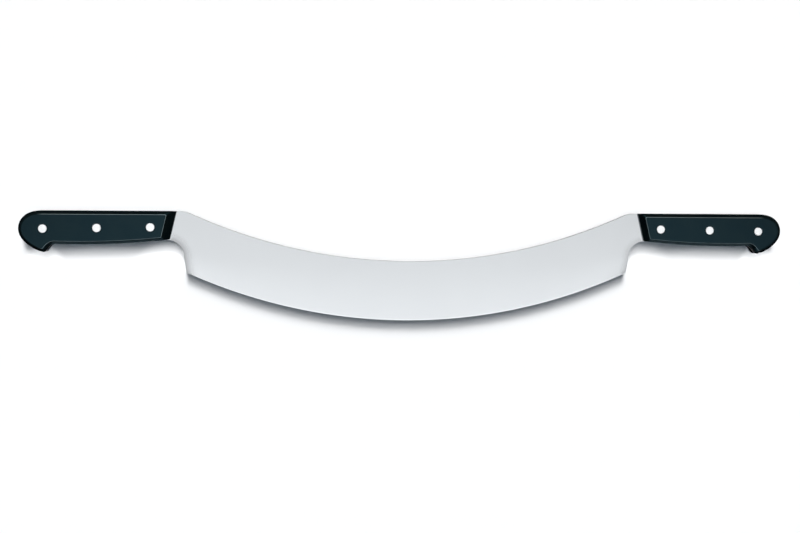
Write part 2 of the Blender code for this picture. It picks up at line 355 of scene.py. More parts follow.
@dataclass(frozen=True)
class BladeShape:
    """The blade with both tangs: its outline, and how thick it is at each place."""

    handle: HandleOutline
    edge_low: float = -46.95 * MM
    depth: float = 51.6 * MM
    spine_radius: float = 455 * MM
    edge_radius: float = 460 * MM
    shoulder_radius: float = 18 * MM
    edge_span: float = 382.4 * MM
    heel_lean: float = math.radians(7.6)
    choil_radius: float = 14.5 * MM
    stock: float = 2.4 * MM
    grind_middle: float = 46 * MM
    grind_heel: float = 17 * MM
    grind_fade: float = math.radians(3)
    shoulder_thickness: float = 0.8 * MM
    bevel: float = 1.3 * MM
    land: float = 0.12 * MM
    roll_width: dict[End, float] = field(default_factory=lambda: {End.LEFT: 9.5 * MM, End.RIGHT: 8 * MM})
    roll_drop: dict[End, float] = field(default_factory=lambda: {End.LEFT: 0.20 * MM, End.RIGHT: 0.11 * MM})
    # How much the rolled-off face by each heel is roughened and darkened with painted shade
    roll_dullness: dict[End, float] = field(default_factory=lambda: {End.LEFT: 0.95, End.RIGHT: 0.45})
    roll_clear_of_scale: float = 1.2 * MM
    spine_steps: int = 84
    edge_steps: int = 84
    shoulder_steps: int = 14
    choil_steps: int = 20
    heel_steps: int = 6

    @property
    def edge_centre(self) -> Vector:
        """The centre of the cutting edge's arc."""
        return Vector((0, self.edge_low + self.edge_radius))

    @property
    def spine_centre(self) -> Vector:
        """The centre of the spine's arc."""
        return Vector((0, self.edge_low + self.depth + self.spine_radius))

    @property
    def heel_angle(self) -> float:
        """Half the angle that the cutting edge spans."""
        return math.asin(self.edge_span / 2 / self.edge_radius)

    @property
    def heel(self) -> tuple[Vector, Vector, Vector]:
        """The heel's corner, its direction upwards, and the direction out of the steel."""
        corner = below(self.edge_centre, self.edge_radius, self.heel_angle)
        along = direction(self.heel_lean)
        return corner, along, Vector((along.y, -along.x))

    @property
    def choil(self) -> tuple[Vector, Vector]:
        """The choil's centre, and the direction from the belly's centre to it."""
        return self.handle.hollow_to_belly(*self.heel, self.choil_radius)

    def heel_side(self, inset: float) -> Ring:
        """The heel's straight side from the edge to the choil, with a point where the edge bevel ends."""
        corner, along, air = self.heel
        start = corner - air * inset
        choil_centre, _ = self.choil
        top = choil_centre - air * (self.choil_radius + inset)
        reaches = [
            min(crossings(start, along, self.edge_centre, self.edge_radius - depth), key=abs)
            for depth in (inset, self.bevel / 2, self.bevel)
        ]
        lower = [start + along * reach for reach in reaches]
        return lower + straight(lower[-1], top, self.heel_steps)[1:]

    def right_half(self, inset: float) -> Ring:
        """The right half of the outline, from the middle of the spine to the middle of the edge.

        Args:
            inset: How far inside the outline.

        Returns:
            The points, clockwise.
        """
        handle = self.handle
        spine = self.spine_centre
        shoulder = Vector((0, handle.top - self.shoulder_radius))
        reach = self.spine_radius + self.shoulder_radius
        shoulder.x = math.sqrt(reach**2 - (spine.y - shoulder.y) ** 2)
        spine_end = spine + (shoulder - spine) * (self.spine_radius + inset) / reach
        crest = Vector((shoulder.x, handle.top - inset))
        points = arc(spine, below(spine, self.spine_radius + inset, 0), spine_end, self.spine_steps)
        points += arc(shoulder, spine_end, crest, self.shoulder_steps)[1:]
        butt = handle.butt_and_beak(inset)
        points += straight(crest, butt[0], handle.top_steps)[1:]
        points += butt[1:]
        choil_centre, to_choil = self.choil
        choil_top = handle.belly_centre + to_choil * (handle.belly_radius - inset)
        heel = self.heel_side(inset)
        points += arc(handle.belly_centre, butt[-1], choil_top, handle.belly_steps)[1:]
        points += arc(choil_centre, choil_top, heel[-1], self.choil_steps)[1:]
        points += heel[-2::-1]
        lowest = below(self.edge_centre, self.edge_radius - inset, 0)
        return points + arc(self.edge_centre, heel[0], lowest, self.edge_steps)[1:]

    def outline(self, inset: float) -> Ring:
        """The whole outline, clockwise from the middle of the spine."""
        right = self.right_half(inset)
        return right + [mirrored(point) for point in reversed(right[1:-1])]

    def from_edge(self, point: Vector) -> float:
        """How far a point lies above the cutting edge."""
        return self.edge_radius - (point - self.edge_centre).length

    def from_hollow(self, point: Vector) -> float:
        """How far a point lies inside the nearer heel, choil or belly."""
        near = on_right(point)
        corner, along, air = self.heel
        choil_centre, to_choil = self.choil
        if (near - choil_centre).dot(along) < 0:
            return (corner - near).dot(air)
        if (near - choil_centre).cross(-to_choil) < 0:
            return (near - choil_centre).length - self.choil_radius
        return self.handle.from_belly(near)

    def from_scale(self, point: Vector) -> float:
        """How far a point lies in front of the nearer scale's front end."""
        corner = self.handle.front_corner(self.end_of(point))
        return (corner - on_right(point)).dot(self.handle.front_inward)

    @staticmethod
    def end_of(point: Vector) -> End:
        """The end of the knife that a point lies nearer to."""
        return End.LEFT if point.x < 0 else End.RIGHT

    def roll(self, point: Vector) -> float:
        """How strongly the polishing wheel has rounded the face off here, from 0 to 1."""
        near_hollow = max(0.0, 1 - self.from_hollow(point) / self.roll_width[self.end_of(point)])
        return near_hollow**2 * smooth_step(self.from_scale(point) / self.roll_clear_of_scale)

    def dullness(self, point: Vector) -> float:
        """How much the rounded-off face is roughened and darkened with painted shade here, from 0 to 1."""
        return self.roll_dullness[self.end_of(point)] * self.roll(point)

    def half_thickness(self, point: Vector) -> float:
        """Half the blade's thickness at a point: the ground face, its edge bevel and its rounded-off rim.

        Args:
            point: A point inside the outline.

        Returns:
            The height of the front face above the blade's middle plane.
        """
        angle = abs(angle_below(self.edge_centre, point))
        up = self.from_edge(point)
        share = min(1.0, angle / self.heel_angle)
        depth = self.grind_middle + (self.grind_heel - self.grind_middle) * share**2
        rise = min(1.0, max(0.0, (up - self.bevel) / (depth - self.bevel)))
        shoulder, land, full = self.shoulder_thickness / 2, self.land / 2, self.stock / 2
        if up < self.bevel:
            height = land + (shoulder - land) * max(0.0, up) / self.bevel
        else:
            height = shoulder + (full - shoulder) * rise * (2 - rise)
        faded = smooth_step((angle - self.heel_angle) / self.grind_fade)
        height += (full - height) * faded
        rolled = self.roll_drop[self.end_of(point)] * self.roll(point)
        return max(land, height - rolled * min(1.0, height / full))


# Meshes


def into_scene(name: str, data: bpy.types.ID) -> bpy.types.Object:
    """A new object in the scene, made of this mesh, light or camera."""
    made = bpy.data.objects.new(name, data)
    bpy.context.scene.collection.objects.link(made)
    return made


class Draft:
    """A mesh in the making, with the attributes that its finish reads."""

    def __init__(self) -> None:
        """Starts an empty mesh."""
        self.shape = bmesh.new()
        self.worn = self.shape.verts.layers.float.new(EDGE_WEAR_AND_HIGHLIGHT)
        self.dull = self.shape.verts.layers.float.new(HOLLOW_DULL_AND_SHADE)
        self.buffed = self.shape.verts.layers.float.new(BUFFED)

    def ring(
        self,
        points: Iterable[Vector],
        height: float,
        worn: Callable[[Vector], float] | None = None,
        buffed: float = 0.0,
    ) -> list[bmesh.types.BMVert]:
        """A level ring of vertices.

        Args:
            points: Its points in plan.
            height: Its height.
            worn: How strong the lighter edge colour is at a point; on the scales it is a painted highlight.
            buffed: How glossy the surface is.

        Returns:
            The vertices.
        """
        made = []
        for point in points:
            vert = self.shape.verts.new((point.x, point.y, height))
            vert[self.worn] = worn(point) if worn else 0.0
            vert[self.buffed] = buffed
            made.append(vert)
        return made

    def wall(self, one: Sequence[bmesh.types.BMVert], two: Sequence[bmesh.types.BMVert]) -> None:
        """A closed strip of faces between two rings of as many vertices, or between a ring and a point."""
        for i in range(max(len(one), len(two))):
            corners = [ring[k % len(ring)] for ring, k in ((one, i - 1), (one, i), (two, i), (two, i - 1))]
            self.shape.faces.new(list(dict.fromkeys(corners)))

    def cap(self, rings: Iterable[Sequence[bmesh.types.BMVert]]) -> None:
        """A flat face inside the first ring, with the other rings as holes."""
        edges = []
        for verts in rings:
            edges += [self.shape.edges.get((verts[i - 1], verts[i])) for i in range(len(verts))]
        bmesh.ops.triangle_fill(self.shape, edges=edges, use_beauty=True, use_dissolve=False)

    def turn(self, profile: Profile, sides: int) -> None:
        """A closed solid turned about the upright axis through the origin.

        Args:
            profile: (radius, height) all round a closed section, or from axis to axis.
            sides: How many facets the solid has all round.
        """
        axis = Vector((0, 0))
        rings = []
        for radius, height in profile:
            rings.append(self.ring(circle(axis, radius, sides) if radius else [axis], height))
        if profile[0][0]:
            rings.append(rings[0])
        for one, two in zip(rings, rings[1:]):
            self.wall(one, two)

    def mirror(self, end: End, face: Face) -> None:
        """Turns the right front piece into the one at another end or face."""
        matrix = Matrix.Diagonal((end.value, 1, face.value, 1))
        bmesh.ops.transform(self.shape, verts=self.shape.verts, matrix=matrix)

    def finish(
        self,
        name: str,
        material: bpy.types.Material,
        node: str,
        place: tuple[float, float] = (0.0, 0.0),
    ) -> bpy.types.Object:
        """Turns the draft into a piece of the knife, with its origin at half the knife's height.

        Args:
            name: The piece's name.
            material: Its finish.
            node: The CAD node that it stands for.
            place: Where its origin goes in plan.

        Returns:
            The new object.
        """
        bmesh.ops.recalc_face_normals(self.shape, faces=self.shape.faces)
        for part in self.shape.faces:
            part.smooth = True
        for edge in self.shape.edges:
            if edge.calc_face_angle(0) > SHARP_FROM:
                edge.smooth = False
        mesh = bpy.data.meshes.new(name)
        self.shape.to_mesh(mesh)
        self.shape.free()
        mesh.materials.append(material)
        piece = into_scene(name, mesh)
        piece.location = (*place, HALF_HEIGHT)
        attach(piece, ROOT)
        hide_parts(node)
        log.info("%s: %d faces, stands for %s", name, len(mesh.polygons), node)
        return piece


# Node groups shared by the finishes


class Nodes:
    """A node tree being wired. What is given to an input is a value, or a socket to link to it."""

    MIX_VALUES: tuple[int, int] = (2, 3)  # the Mix node's inputs go by number, as their names repeat
    MIX_COLOURS: tuple[int, int] = (6, 7)
    MIXED_VALUE: int = 0
    MIXED_COLOUR: int = 2

    def __init__(self, tree: bpy.types.NodeTree) -> None:
        """Takes the tree to work in."""
        self.tree = tree

    def fill(self, node: bpy.types.Node, given: dict[str | int, object]) -> None:
        """Gives a node's inputs their values and links, by name or number."""
        for key, value in given.items():
            if isinstance(value, Socket):
                self.tree.links.new(value, node.inputs[key])
            else:
                node.inputs[key].default_value = value

    def add(
        self, kind: str, given: dict[str | int, object] | None = None, **settings: object
    ) -> bpy.types.Node:
        """Adds a node.

        Args:
            kind: The node's type.
            given: What its inputs get, by name or number.
            settings: Its other settings.

        Returns:
            The node.
        """
        node = self.tree.nodes.new(kind)
        for name, value in settings.items():
            setattr(node, name, value)
        self.fill(node, given or {})
        return node

    def place(self) -> Socket:
        """The place on the piece, in metres from its origin."""
        return self.add("ShaderNodeTexCoord").outputs["Object"]

    def mark(self, attribute: str) -> Socket:
        """One of the mesh's own attributes."""
        return self.add("ShaderNodeAttribute", attribute_name=attribute).outputs["Fac"]

    def maths(self, operation: str, one: object, two: object) -> Socket:
        """Two values put together by this operation."""
        return self.add("ShaderNodeMath", {0: one, 1: two}, operation=operation).outputs[0]

    def noise(self, **given: object) -> Socket:
        """Cloudy noise from 0 to 1, with what the noise node's inputs get."""
        return self.add("ShaderNodeTexNoise", given).outputs["Fac"]

    def blend_colours(self, mask: Socket, under: object, over: object) -> Socket:
        """Two colours mixed by a mask."""
        full = [one if isinstance(one, Socket) else (*one, 1) for one in (under, over)]
        given = {"Factor": mask, **dict(zip(self.MIX_COLOURS, full))}
        return self.add("ShaderNodeMix", given, data_type="RGBA").outputs[self.MIXED_COLOUR]

    def blend_values(self, mask: Socket, under: object, over: object) -> Socket:
        """Two values mixed by a mask."""
        given = {"Factor": mask, **dict(zip(self.MIX_VALUES, (under, over)))}
        return self.add("ShaderNodeMix", given, data_type="FLOAT").outputs[self.MIXED_VALUE]


class Effects:
    """The effects that several finishes share, each one a node group that is built once."""

    PATCH_SCALE: float = 0.12
    MARKS_FROM: float = 0.35
    MARKS_TO: float = 0.65
    LEAST_WEAR: float = 0.6

    def __init__(self) -> None:
        """Builds the three groups."""
        self.grain = self.build_grain()
        self.handling = self.build_handling()
        self.wear = self.build_wear()

    @staticmethod
    def start(
        name: str, inputs: dict[str, object], outputs: Iterable[str]
    ) -> tuple[Nodes, dict[str, Socket], bpy.types.Node]:
        """An empty group.

        Args:
            name: The group's name.
            inputs: The value of each input, by name: a number, or three of them.
            outputs: The names of its outputs, each one a number.

        Returns:
            The group's nodes, what comes in by name, and the node that takes what goes out.
        """
        tree = bpy.data.node_groups.new(name, "ShaderNodeTree")
        for label, value in inputs.items():
            kind = "NodeSocketFloat" if isinstance(value, float) else "NodeSocketVector"
            tree.interface.new_socket(label, in_out="INPUT", socket_type=kind).default_value = value
        for label in outputs:
            tree.interface.new_socket(label, in_out="OUTPUT", socket_type="NodeSocketFloat")
        nodes = Nodes(tree)
        given = nodes.add("NodeGroupInput")
        return nodes, {s.name: s for s in given.outputs if s.name}, nodes.add("NodeGroupOutput")

    def build_grain(self) -> bpy.types.NodeTree:
        """Fine grain, drawn out in one direction: grinding lines on steel, moulding texture on plastic."""
        inputs = {"Lines per metre": 1000.0, "Stretch": (1.0, 1.0, 1.0), "Unevenness": 0.5}
        nodes, given, made = self.start("fine_grain", inputs, ("Height", "Mask"))
        stretched = nodes.add(
            "ShaderNodeVectorMath", {0: nodes.place(), 1: given["Stretch"]}, operation="MULTIPLY"
        ).outputs[0]
        lines = given["Lines per metre"]
        fine = nodes.noise(Vector=stretched, Scale=lines, Detail=3.0, Roughness=given["Unevenness"])
        patches = nodes.maths("MULTIPLY", lines, self.PATCH_SCALE)
        coarse = nodes.noise(Vector=stretched, Scale=patches, Detail=2.0)
        nodes.fill(made, {"Height": fine, "Mask": coarse})
        return nodes.tree

    def build_handling(self) -> bpy.types.NodeTree:
        """Soft cloudy marks that wiping and handling leave."""
        inputs = {"Marks per metre": 30.0, "Amount": 1.0}
        nodes, given, made = self.start("handling_marks", inputs, ("Mask",))
        cloud = nodes.noise(
            Vector=nodes.place(),
            Scale=given["Marks per metre"],
            Detail=4.0,
            Roughness=0.55,
            Distortion=0.6,
        )
        spread = nodes.add(
            "ShaderNodeMapRange",
            {"Value": cloud, "From Min": self.MARKS_FROM, "From Max": self.MARKS_TO},
            interpolation_type="SMOOTHSTEP",
        )
        marks = nodes.maths("MULTIPLY", spread.outputs["Result"], given["Amount"])
        nodes.fill(made, {"Mask": marks})
        return nodes.tree

    def build_wear(self) -> bpy.types.NodeTree:
        """Edges made lighter and smoother, broken up a little along their length: partly marks of use, and on
        the scales a painted highlight.
        """
        inputs = {"Amount": 1.0, "Breaks per metre": 120.0}
        nodes, given, made = self.start("worn_edges", inputs, ("Mask",))
        cloud = nodes.noise(Vector=nodes.place(), Scale=given["Breaks per metre"], Detail=2.0)
        uneven = nodes.add(
            "ShaderNodeMapRange", {"Value": cloud, "To Min": self.LEAST_WEAR, "To Max": 1.0}
        )
        masked = nodes.maths("MULTIPLY", nodes.mark(EDGE_WEAR_AND_HIGHLIGHT), uneven.outputs["Result"])
        nodes.fill(made, {"Mask": nodes.maths("MULTIPLY", masked, given["Amount"])})
        return nodes.tree


@dataclass(frozen=True)
class Finish:
    """What all the knife's finishes have in common. Colours are linear."""

    name: str
    colour: Colour
    marked_colour: Colour
    worn_colour: Colour
    metallic: float
    roughness: float
    marked_roughness: float
    worn_roughness: float
    specular: float
    specular_tint: Colour
    marks_per_metre: float
    marks: float
    wear: float
    grain_per_metre: float
    grain_stretch: Triple
    grain_depth: float
    grain_tone: float

    def material(self, effects: Effects) -> bpy.types.Material:
        """The material: a base colour and roughness with grain, handling marks and lighter edges over them,
        partly marks of use and on the scales a painted highlight.

        Args:
            effects: The shared node groups.

        Returns:
            The new material.
        """
        made = bpy.data.materials.new(self.name)
        made.use_nodes = True
        nodes = Nodes(made.node_tree)
        grain = nodes.add(
            "ShaderNodeGroup",
            {"Lines per metre": self.grain_per_metre, "Stretch": self.grain_stretch},
            node_tree=effects.grain,
        ).outputs
        marked = nodes.add(
            "ShaderNodeGroup",
            {"Marks per metre": self.marks_per_metre, "Amount": self.marks},
            node_tree=effects.handling,
        ).outputs["Mask"]
        worn = nodes.add(
            "ShaderNodeGroup", {"Amount": self.wear}, node_tree=effects.wear
        ).outputs["Mask"]
        patches = tuple(channel * self.grain_tone for channel in self.colour)
        colour = nodes.blend_colours(grain["Mask"], self.colour, patches)
        colour = nodes.blend_colours(marked, colour, self.marked_colour)
        colour = nodes.blend_colours(worn, colour, self.worn_colour)
        rough = nodes.blend_values(marked, self.roughness, self.marked_roughness)
        rough = nodes.blend_values(worn, rough, self.worn_roughness)
        relief = self.relief(nodes, grain["Height"])
        bump = nodes.add(
            "ShaderNodeBump", {"Strength": 1.0, "Distance": self.grain_depth, "Height": relief}
        )
        shader = made.node_tree.nodes["Principled BSDF"]
        nodes.fill(shader, {
            "Metallic": self.metallic,
            "Specular IOR Level": self.specular,
            "Specular Tint": (*self.specular_tint, 1),
            "Base Color": self.over_colour(nodes, colour),
            "Roughness": self.over_roughness(nodes, rough),
            "Normal": bump.outputs["Normal"],
        })
        return made

    def over_colour(self, nodes: Nodes, colour: Socket) -> Socket:
        """What a finish of its own does to the colour."""
        return colour

    def over_roughness(self, nodes: Nodes, roughness: Socket) -> Socket:
        """What a finish of its own does to the roughness."""
        return roughness

    def relief(self, nodes: Nodes, height: Socket) -> Socket:
        """What a finish of its own does to the relief."""
        return height


@dataclass(frozen=True)
class GroundSteel(Finish):
    """Satin steel, ground across the blade, rougher in the hollows by the heels, where painted shade darkens
    it.
    """

    name: str = "ground_blade_steel"
    colour: Colour = (0.745, 0.775, 0.801)
    marked_colour: Colour = (0.735, 0.764, 0.791)
    worn_colour: Colour = (0.80, 0.81, 0.82)
    metallic: float = 1.0
    roughness: float = 0.24
    marked_roughness: float = 0.26
    worn_roughness: float = 0.20
    specular: float = 0.5
    specular_tint: Colour = (1.0, 1.0, 1.0)
    marks_per_metre: float = 14.0
    marks: float = 0.7
    wear: float = 0.8
    grain_per_metre: float = 1400.0
    grain_stretch: Triple = (1.0, 0.035, 1.0)
    grain_depth: float = 0.4e-6
    grain_tone: float = 0.985
    # Painted shade: the darker colour in the hollows by the heels and on the rim
    dull_colour: Colour = (0.45, 0.46, 0.475)
    dull_roughness: float = 0.34

    def over_colour(self, nodes: Nodes, colour: Socket) -> Socket:
        """Paints shade into the hollows between heel and handle and onto the rim, as a darker colour."""
        return nodes.blend_colours(nodes.mark(HOLLOW_DULL_AND_SHADE), colour, self.dull_colour)

    def over_roughness(self, nodes: Nodes, roughness: Socket) -> Socket:
        """Leaves the hollows between heel and handle duller."""
        return nodes.blend_values(nodes.mark(HOLLOW_DULL_AND_SHADE), roughness, self.dull_roughness)


@dataclass(frozen=True)
class MouldedPlastic(Finish):
    """Black plastic with a blue-green cast, moulded and lightly buffed."""

    name: str = "moulded_scale_plastic"
    colour: Colour = (0.0008, 0.0022, 0.0030)
    marked_colour: Colour = (0.0026, 0.0046, 0.0046)
    # Painted highlight: the light line along the bevels' upper rounding
    worn_colour: Colour = (0.170, 0.200, 0.200)
    metallic: float = 0.0
    roughness: float = 0.24
    marked_roughness: float = 0.26
    worn_roughness: float = 0.30
    specular: float = 0.5
    specular_tint: Colour = (0.30, 0.66, 0.84)
    marks_per_metre: float = 60.0
    marks: float = 0.8
    wear: float = 0.9
    grain_per_metre: float = 2600.0
    grain_stretch: Triple = (1.0, 1.0, 1.0)
    grain_depth: float = 1.2e-6
    grain_tone: float = 0.9
    buffed_roughness: float = 0.15

    def over_roughness(self, nodes: Nodes, roughness: Socket) -> Socket:
        """Makes the bevels glossier than the faces."""
        return nodes.blend_values(nodes.mark(BUFFED), roughness, self.buffed_roughness)


@dataclass(frozen=True)
class TurnedAluminium(Finish):
    """Rivet heads ground flush with the scales, with fine turning rings."""

    name: str = "turned_rivet_aluminium"
    colour: Colour = (0.975, 0.98, 0.98)
    marked_colour: Colour = (0.95, 0.955, 0.96)
    worn_colour: Colour = (0.84, 0.85, 0.86)
    metallic: float = 0.35
    roughness: float = 0.38
    marked_roughness: float = 0.42
    worn_roughness: float = 0.34
    specular: float = 0.5
    specular_tint: Colour = (1.0, 1.0, 1.0)
    marks_per_metre: float = 260.0
    marks: float = 0.5
    wear: float = 0.5
    grain_per_metre: float = 3000.0
    grain_stretch: Triple = (1.0, 1.0, 1.0)
    grain_depth: float = 2.0e-6
    grain_tone: float = 0.96
    rings_per_metre: float = 900.0
    ring_unevenness: float = 0.4
    ring_depth: float = 0.5

    def relief(self, nodes: Nodes, height: Socket) -> Socket:
        """Adds the turning rings about the rivet's own axis."""
        rings = nodes.add(
            "ShaderNodeTexWave",
            {"Vector": nodes.place(), "Scale": self.rings_per_metre, "Distortion": self.ring_unevenness},
            wave_type="RINGS",
            rings_direction="Z",
        )
        return nodes.maths("ADD", height, nodes.maths("MULTIPLY", rings.outputs["Fac"], self.ring_depth))


@dataclass(frozen=True)
class WhitePaper:
    """The white paper that the knife lies on."""

    name: str = "white_paper"
    colour: Colour = (0.90, 0.90, 0.90)
    darker: Colour = (0.885, 0.885, 0.885)
    roughness: float = 0.95
    specular: float = 0.1
    fibres_per_metre: float = 700.0

    def material(self) -> bpy.types.Material:
        """Matt white, very slightly mottled."""
        made = bpy.data.materials.new(self.name)
        made.use_nodes = True
        nodes = Nodes(made.node_tree)
        fibres = nodes.noise(Vector=nodes.place(), Scale=self.fibres_per_metre, Detail=3.0)
        nodes.fill(made.node_tree.nodes["Principled BSDF"], {
            "Roughness": self.roughness,
            "Specular IOR Level": self.specular,
            "Base Color": nodes.blend_colours(fibres, self.colour, self.darker),
        })
        return made


# The blade


@dataclass
class FaceMesh:
    """The blade's face in plan, and which of its points lie on the rim, the bevel line and the bores."""

    points: Ring
    triangles: list[tuple[int, ...]]
    rim: range
    bevel: range
    bores: list[range]


@dataclass
class Blade:
    """One plate of steel: the ground blade and both tangs."""

    shape: BladeShape
    ease: float = 0.12 * MM
    ease_drop: float = 0.10 * MM
    ease_steps: int = 3
    # The rim's share of the hollows' roughness and painted shade
    rim_dullness: float = 0.5
    support: float = 0.22 * MM
    grid: float = 4 * MM
    fine_grid: float = 1.2 * MM
    fine_within: float = 11 * MM
    fine_ahead: float = 12 * MM
    row_spacing: float = 0.866
    first_column: float = 0.25
    clear: float = 0.8 * MM
    tang_share: float = 0.8
    bore_sides: int = 32
    bore_tolerance: float = 0.999
    line_tolerance: float = 1e-5

    def inner_points(self, ring: Ring) -> Ring:
        """Places spread over the face, closer together round the hollows.

        Args:
            ring: The face's outline.

        Returns:
            The places, each clear of the outline.
        """
        high = max(p.y for p in ring)
        low = min(p.y for p in ring)
        reach = max(p.x for p in ring)
        spots: Ring = []
        for step, fine in ((self.grid, False), (self.fine_grid, True)):
            rows = int((high - low) / (step * self.row_spacing)) + 1
            columns = int(reach / step) + 1
            for row in range(rows):
                y = low + (row + 0.5) * step * self.row_spacing
                for column in range(columns):
                    spot = Vector(((column + self.first_column + 0.5 * (row % 2)) * step, y))
                    if self.is_near_hollow(spot) == fine and self.is_clear(spot, step):
                        spots += [spot, mirrored(spot)]
        return spots

    def is_near_hollow(self, spot: Vector) -> bool:
        """Whether a place lies where the face rolls off."""
        within = self.shape.from_hollow(spot) < self.fine_within
        return within and 0 < self.shape.from_scale(spot) < self.fine_ahead + self.fine_within

    def is_clear(self, spot: Vector, step: float) -> bool:
        """Whether a place lies inside the outline, clear of it and of the edge bevel."""
        shape, handle = self.shape, self.shape.handle
        margin = max(self.clear, step / 2)
        into_tang = abs(spot.x) - handle.front
        if (spot - shape.spine_centre).length < shape.spine_radius + margin:
            return False
        if spot.y > handle.top - margin or into_tang > handle.length * self.tang_share:
            return False
        if into_tang > 0:
            return handle.from_belly(on_right(spot)) > margin
        angle = abs(angle_below(shape.edge_centre, spot))
        over_edge = shape.from_edge(spot) > shape.bevel + margin or angle > shape.heel_angle
        return over_edge and shape.from_hollow(spot) > margin

    def face_mesh(self, bores: Iterable[Vector], bore_radius: float) -> FaceMesh:
        """The front face as triangles, with its margin, the edge bevel's line and the rivets' bores in it.

        Args:
            bores: The bores' places.
            bore_radius: Their radius.

        Returns:
            The mesh in plan.
        """
        rim = self.shape.outline(self.ease)
        margin = self.shape.outline(self.ease + self.support)
        centre, radius = self.shape.edge_centre, self.shape.edge_radius - self.shape.bevel
        count = len(rim)
        ends = [
            min(range(count), key=lambda i: (rim[i] - corner).length) for corner in self.bevel_ends(self.ease)
        ]
        line = arc(centre, *[margin[end] for end in ends], 2 * self.shape.edge_steps)[1:-1]
        line = [centre + (point - centre).normalized() * radius for point in line]
        points = rim + margin + line
        edges = [(ring + i, ring + (i + 1) % count) for ring in (0, count) for i in range(count)]
        chain = [ends[0], count + ends[0], *range(2 * count, len(points)), count + ends[1], ends[1]]
        edges += list(zip(chain, chain[1:]))
        holes = []
        for place in bores:
            hole = range(len(points), len(points) + self.bore_sides)
            points += circle(place, bore_radius, self.bore_sides)
            edges += list(zip(hole, [*hole[1:], hole[0]]))
            holes.append(hole)
        points += self.inner_points(rim)
        in_millimetres = [point / MM for point in points]
        _, _, faces, sources, _, _ = delaunay_2d_cdt(in_millimetres, edges, [], 1, self.line_tolerance)
        if not all(sources):
            raise ValueError("the lines of the blade's face cross")
        triangles = [tuple(sources[k][0] for k in face) for face in faces]
        middles = [sum((points[k] for k in triangle), Vector((0, 0))) / 3 for triangle in triangles]
        kept = [
            triangle
            for triangle, middle in zip(triangles, middles)
            if all((middle - place).length > bore_radius * self.bore_tolerance for place in bores)
        ]
        return FaceMesh(points, kept, range(count), range(2 * count, 2 * count + len(line)), holes)

    def bevel_ends(self, inset: float) -> Ring:
        """Where the edge bevel's line meets the right and the left heel, moved inwards by this inset."""
        right = self.shape.heel_side(inset)[2]
        return [right, mirrored(right)]

    def build(
        self, rivets: Sequence[Vector], bore_radius: float, material: bpy.types.Material
    ) -> bpy.types.Object:
        """Builds the blade: two ground faces, an eased rim and the rivets' bores.

        Args:
            rivets: The places of all six rivets.
            bore_radius: The radius of their bores.
            material: The blade's finish.

        Returns:
            The blade.
        """
        draft = Draft()
        plan = self.face_mesh(rivets, bore_radius)
        bevel_line = set()
        rims = {}
        bores = {}
        for face in Face:
            verts = []
            for point in plan.points:
                height = face.value * self.shape.half_thickness(point)
                vert = draft.shape.verts.new((point.x, point.y, height))
                # Roughness and painted shade in the hollows by the heels
                vert[draft.dull] = self.shape.dullness(point)
                verts.append(vert)
            for triangle in plan.triangles:
                draft.shape.faces.new([verts[k] for k in triangle])
            bevel_line |= {verts[k] for k in plan.bevel}
            rims[face] = [verts[k] for k in plan.rim]
            bores[face] = [[verts[k] for k in hole] for hole in plan.bores]
        self.ease_rim(draft, rims)
        for one, two in zip(bores[Face.FRONT], bores[Face.BACK]):
            draft.wall(one, two)
        unused = [vert for vert in draft.shape.verts if not vert.link_faces]
        bmesh.ops.delete(draft.shape, geom=unused, context="VERTS")
        for edge in draft.shape.edges:
            if all(vert in bevel_line for vert in edge.verts):
                edge.smooth = False
        return draft.finish("ground_blade", material, "blade")

    def ease_rim(self, draft: Draft, rims: dict[Face, list[bmesh.types.BMVert]]) -> None:
        """Rounds the rim of the plate between its two faces.

        Args:
            draft: The blade in the making.
            rims: The outline's vertices on each face.
        """
        previous = rims[Face.FRONT]
        quarter = math.pi / 2
        levels = [quarter * k / self.ease_steps for k in range(1, self.ease_steps + 1)]
        for face, turns in ((Face.FRONT, levels), (Face.BACK, levels[::-1])):
            for turn in turns:
                inset = self.ease * (1 - math.sin(turn))
                drop = self.ease_drop * (1 - math.cos(turn))
                made = []
                for point in self.shape.outline(inset):
                    full = self.shape.half_thickness(point)
                    eased = max(self.shape.land / 2, full - drop * min(1.0, full / (2 * self.ease_drop)))
                    vert = draft.shape.verts.new((point.x, point.y, face.value * eased))
                    # The eased rim: the lighter edge colour, and half the hollows' roughness and painted
                    # shade
                    vert[draft.worn] = 1.0
                    vert[draft.dull] = self.rim_dullness
                    made.append(vert)
                draft.wall(previous, made)
                previous = made
        draft.wall(previous, rims[Face.BACK])


# The handles


